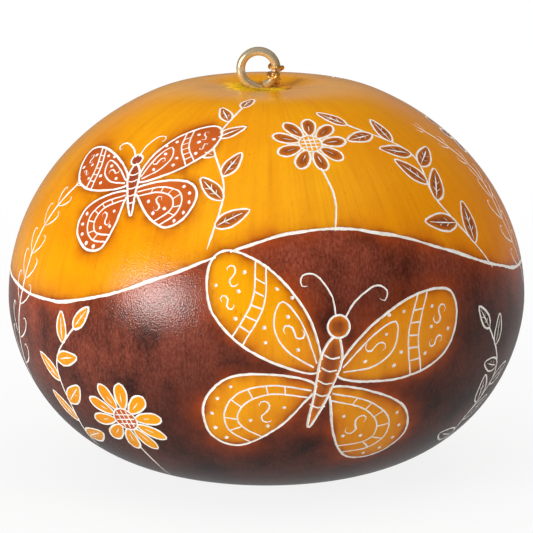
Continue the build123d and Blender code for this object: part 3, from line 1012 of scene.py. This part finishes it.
# Thread tie: gold thread, wound twice round the ring's wire and closed with an overhand knot
# on the front. The thread is three plies twisted together.
RING_X, RING_Z = -1.080 * MM, 54.977 * MM
RING_RADIUS = 2.4 * MM
WIND_RADIUS = 0.9 * MM
TIE_FIRST_ANGLE, TIE_PITCH_ANGLE, TIE_TURNS = 26.0, 39.0, 2
PLIES = 3
PLY_RADIUS = 0.14 * MM
PLY_OFFSET = 0.09 * MM
PLY_LAY = 1.4 * MM
KNOT_ANGLE = math.radians(-16.0)
KNOT_FRONT = -1.22 * MM
KNOT_RADIUS = 0.38 * MM
KNOT_LOOPS = 5
TAIL_WAY = (0.6, -0.1, -0.8)
TAIL_START, TAIL_END = 0.3 * MM, 0.95 * MM
WIND_STEPS, KNOT_STEPS, TAIL_STEPS = 150, 160, 15
GOLD_FOIL, GOLD_SHADE = dye(252, 212, 136), dye(220, 156, 70)


def wind_point(turn):
    """Point of the winding after a number of turns."""
    onward = turn + math.sin(2 * math.pi * turn) / (2 * math.pi)
    angle = math.radians(TIE_FIRST_ANGLE - TIE_PITCH_ANGLE * onward)
    reach = RING_RADIUS - WIND_RADIUS * math.sin(2 * math.pi * turn)
    return Vector((RING_X + reach * math.cos(angle), WIND_RADIUS * math.cos(2 * math.pi * turn),
                   RING_Z + reach * math.sin(angle)))


def twist(curve, route, closed=False):
    """Three plies twisted about a route."""
    count = len(route)
    ways = []
    for index in range(count):
        after = route[(index + 1) % count] if closed else route[min(index + 1, count - 1)]
        before = route[index - 1] if closed else route[max(index - 1, 0)]
        ways.append((after - before).normalized())
    length = sum((b - a).length for a, b in zip(route, route[1:]))
    lay_turns = round(length / PLY_LAY)
    side = ways[0].orthogonal().normalized()
    frames = []
    for way in ways:
        side = (side - way * side.dot(way)).normalized()
        frames.append((side, way.cross(side)))
    for ply in range(PLIES):
        track = add_track(curve, count, closed)
        for index, point in enumerate(route):
            angle = 2 * math.pi * (ply / PLIES + lay_turns * index / count)
            first, second = frames[index]
            place = point + PLY_OFFSET * (math.cos(angle) * first + math.sin(angle) * second)
            track[index].co = (*place, 1.0)


thread = round_curve("thread_tie_wound", PLY_RADIUS, 2)
twist(thread, [wind_point(turn) for turn in np.linspace(0, TIE_TURNS, WIND_STEPS)])
knot_middle = Vector((
    RING_X + RING_RADIUS * math.cos(KNOT_ANGLE), KNOT_FRONT, RING_Z + RING_RADIUS * math.sin(KNOT_ANGLE),
))
knot = []
for t in np.linspace(0, 2 * math.pi, KNOT_STEPS, endpoint=False):
    loop = Vector((math.cos(t), math.sin(t), -math.cos(t))) * math.cos(KNOT_LOOPS * t)
    loop += Vector((1, 0, 1)) * math.sin(KNOT_LOOPS * t)
    knot.append(knot_middle + KNOT_RADIUS * loop.normalized())
twist(thread, knot, closed=True)
tail = Vector(TAIL_WAY).normalized()
twist(thread, [knot_middle + tail * reach for reach in np.linspace(TAIL_START, TAIL_END, TAIL_STEPS)])
tie_mesh = curve_mesh(thread)
tie_mesh.name = "thread_tie_wound"
for polygon in tie_mesh.polygons:
    polygon.use_smooth = True
tie = put("thread_tie_wound", tie_mesh)
gold = new_finish("gold_thread")
glint = grain(gold, (1, 1, 1), 5.0, 3)
foil = blend(gold, ramp(gold, glint, 0.35, 0.65), GOLD_FOIL, GOLD_SHADE)
coat(gold, foil, ramp(gold, glint, 0.3, 0.7, 0.25, 0.42), glint, 0.015 * MM, Metallic=0.85)
tie_mesh.materials.clear()
tie_mesh.materials.append(gold)
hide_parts("thread_tie")
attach(tie, "tie")

# Seeds: the fruit's own flat seeds in their dry, matte husks. They came off the pith as it dried,
# nothing fixes them, and they rattle in the closed shell.
PALE_HUSK, BROWN_HUSK = dye(206, 176, 126), dye(142, 104, 62)
husk = new_finish("seed_husk")
vein = grain(husk, (1, 1, 1), 0.9, 5)
husk_colour = blend(husk, ramp(husk, vein, 0.35, 0.7), PALE_HUSK, BROWN_HUSK)
coat(husk, husk_colour, ramp(husk, vein, 0.3, 0.7, 0.5, 0.75), vein, 0.1 * MM)
for name in frame["nodes"]:
    if name.startswith("seed_"):
        dress(name, husk)

# Stand, camera and light: a white sweep, a long lens a little above the gourd, a large soft light at the
# viewer's left, a weaker one at the right and one overhead.
LENS_DISTANCE = 0.75
LENS_RISE = math.radians(12)
SENSOR = 36.0
PIXELS = 533
PIXELS_A_METRE = 7362.2
AIM_RISE = 27.0 / PIXELS_A_METRE
ROOM_LIGHT, ROOM_SHEEN = 0.22, 0.06
SWEEP_HALF = 1.5
SWEEP_FRONT, SWEEP_BACK = -1.0, 0.8
SWEEP_BEND, SWEEP_STEPS = 0.5, 16
PAPER_WHITE, PAPER_ROUGH = (0.9, 0.9, 0.9, 1), 0.9
SHADOW_WHITE = 0.86
LOW_SHEEN, BACK_SHEEN, FLOOR_SHEEN = 0.1, 0.4, 0.19
aim = Vector((0.0, 0.0, WIDEST_Z)) + AIM_RISE * Vector((0, math.sin(LENS_RISE), math.cos(LENS_RISE)))
camera = bpy.data.cameras.new("camera")
camera.sensor_width = SENSOR
camera.lens = SENSOR * PIXELS_A_METRE * LENS_DISTANCE / PIXELS
camera.clip_start = 0.01
eye = put("camera", camera)
eye.location = aim + LENS_DISTANCE * Vector((0, -math.cos(LENS_RISE), math.sin(LENS_RISE)))
eye.rotation_euler = (math.pi / 2 - LENS_RISE, 0, 0)
bpy.context.scene.camera = eye


def soft_light(name, azimuth, rise, distance, width, height, power):
    """Flat soft light that faces the gourd."""
    lamp = bpy.data.lights.new(name, "AREA")
    lamp.shape = "RECTANGLE"
    lamp.size, lamp.size_y = width, height
    lamp.energy = power
    holder = put(name, lamp)
    turn, lift = math.radians(azimuth), math.radians(rise)
    way = Vector((math.sin(turn) * math.cos(lift), -math.cos(turn) * math.cos(lift), math.sin(lift)))
    holder.location = Vector((0, 0, WIDEST_Z)) + distance * way
    holder.rotation_euler = way.to_track_quat("Z", "Y").to_euler()
    return holder


soft_light("key", -50, 12, 0.8, 0.36, 0.23, 4.2)
soft_light("side", 75, 15, 0.8, 0.4, 0.4, 0.7).visible_glossy = False
soft_light("top", -5, 85, 1.2, 2.0, 2.0, 14.0).visible_glossy = False
world = bpy.data.worlds.new("room")
world.use_nodes = True
room = world.node_tree.nodes["Background"].inputs
room["Color"].default_value = (1, 1, 1, 1)
glossy = node(world, "ShaderNodeLightPath").outputs["Is Glossy Ray"]
dim = ramp(world, glossy, 0.0, 1.0, ROOM_LIGHT, ROOM_SHEEN)
world.node_tree.links.new(dim, room["Strength"])
bpy.context.scene.world = world
sweep = bmesh.new()
front = [sweep.verts.new((side * SWEEP_HALF, SWEEP_FRONT, 0)) for side in (-1, 1)]
grown = bmesh.ops.extrude_edge_only(sweep, edges=[sweep.edges.new(front)])["geom"]
back_row = [part for part in grown if isinstance(part, bmesh.types.BMVert)]
bmesh.ops.translate(sweep, verts=back_row, vec=(0, SWEEP_BACK - SWEEP_FRONT, 0))
bmesh.ops.spin(
    sweep, geom=[part for part in grown if not isinstance(part, bmesh.types.BMFace)],
    cent=(0, SWEEP_BACK, SWEEP_BEND), axis=(1, 0, 0), angle=math.pi / 2, steps=SWEEP_STEPS,
)
bmesh.ops.remove_doubles(sweep, verts=sweep.verts, dist=MM)
bmesh.ops.recalc_face_normals(sweep, faces=sweep.faces)
floor = put("sweep", as_mesh(sweep, "sweep"))
paper = new_finish("white_paper")
paper_shader = paper.node_tree.nodes["Principled BSDF"]
paper_shader.inputs["Base Color"].default_value = PAPER_WHITE
paper_shader.inputs["Roughness"].default_value = PAPER_ROUGH
path = node(paper, "ShaderNodeLightPath").outputs
place = node(paper, "ShaderNodeTexCoord").outputs["Object"]
apart = node(paper, "ShaderNodeSeparateXYZ", {0: place}).outputs
away = node(paper, "ShaderNodeVectorMath", {0: place}, operation="LENGTH").outputs["Value"]
mirrored = total(paper, path["Is Glossy Ray"], path["Is Transmission Ray"])
aside = ramp(paper, maths(paper, "ABSOLUTE", apart[0], 0.0), 0.2, 0.6, 1.0, 0.0)
behind = product(paper, aside, ramp(paper, apart[2], 0.02, 0.25))
under = ramp(paper, apart[2], 0.005, 0.05, FLOOR_SHEEN, 0.0)
seen_in_gloss = total(paper, under, ramp(paper, behind, 0.0, 1.0, LOW_SHEEN, BACK_SHEEN))
sheen = product(paper, mirrored, seen_in_gloss)
white = node(paper, "ShaderNodeEmission", {"Strength": total(paper, path["Is Camera Ray"], sheen)})
bare = product(paper, path["Is Camera Ray"], ramp(paper, away, 0.05, 0.2, SHADOW_WHITE, 1.0))
mixed = node(paper, "ShaderNodeMixShader", {0: total(paper, bare, mirrored), 2: white.outputs[0]})
paper.node_tree.links.new(paper_shader.outputs[0], mixed.inputs[1])
paper.node_tree.links.new(mixed.outputs[0], paper.node_tree.nodes["Material Output"].inputs[0])
floor.data.materials.append(paper)
bpy.context.scene.view_settings.view_transform = "Standard"
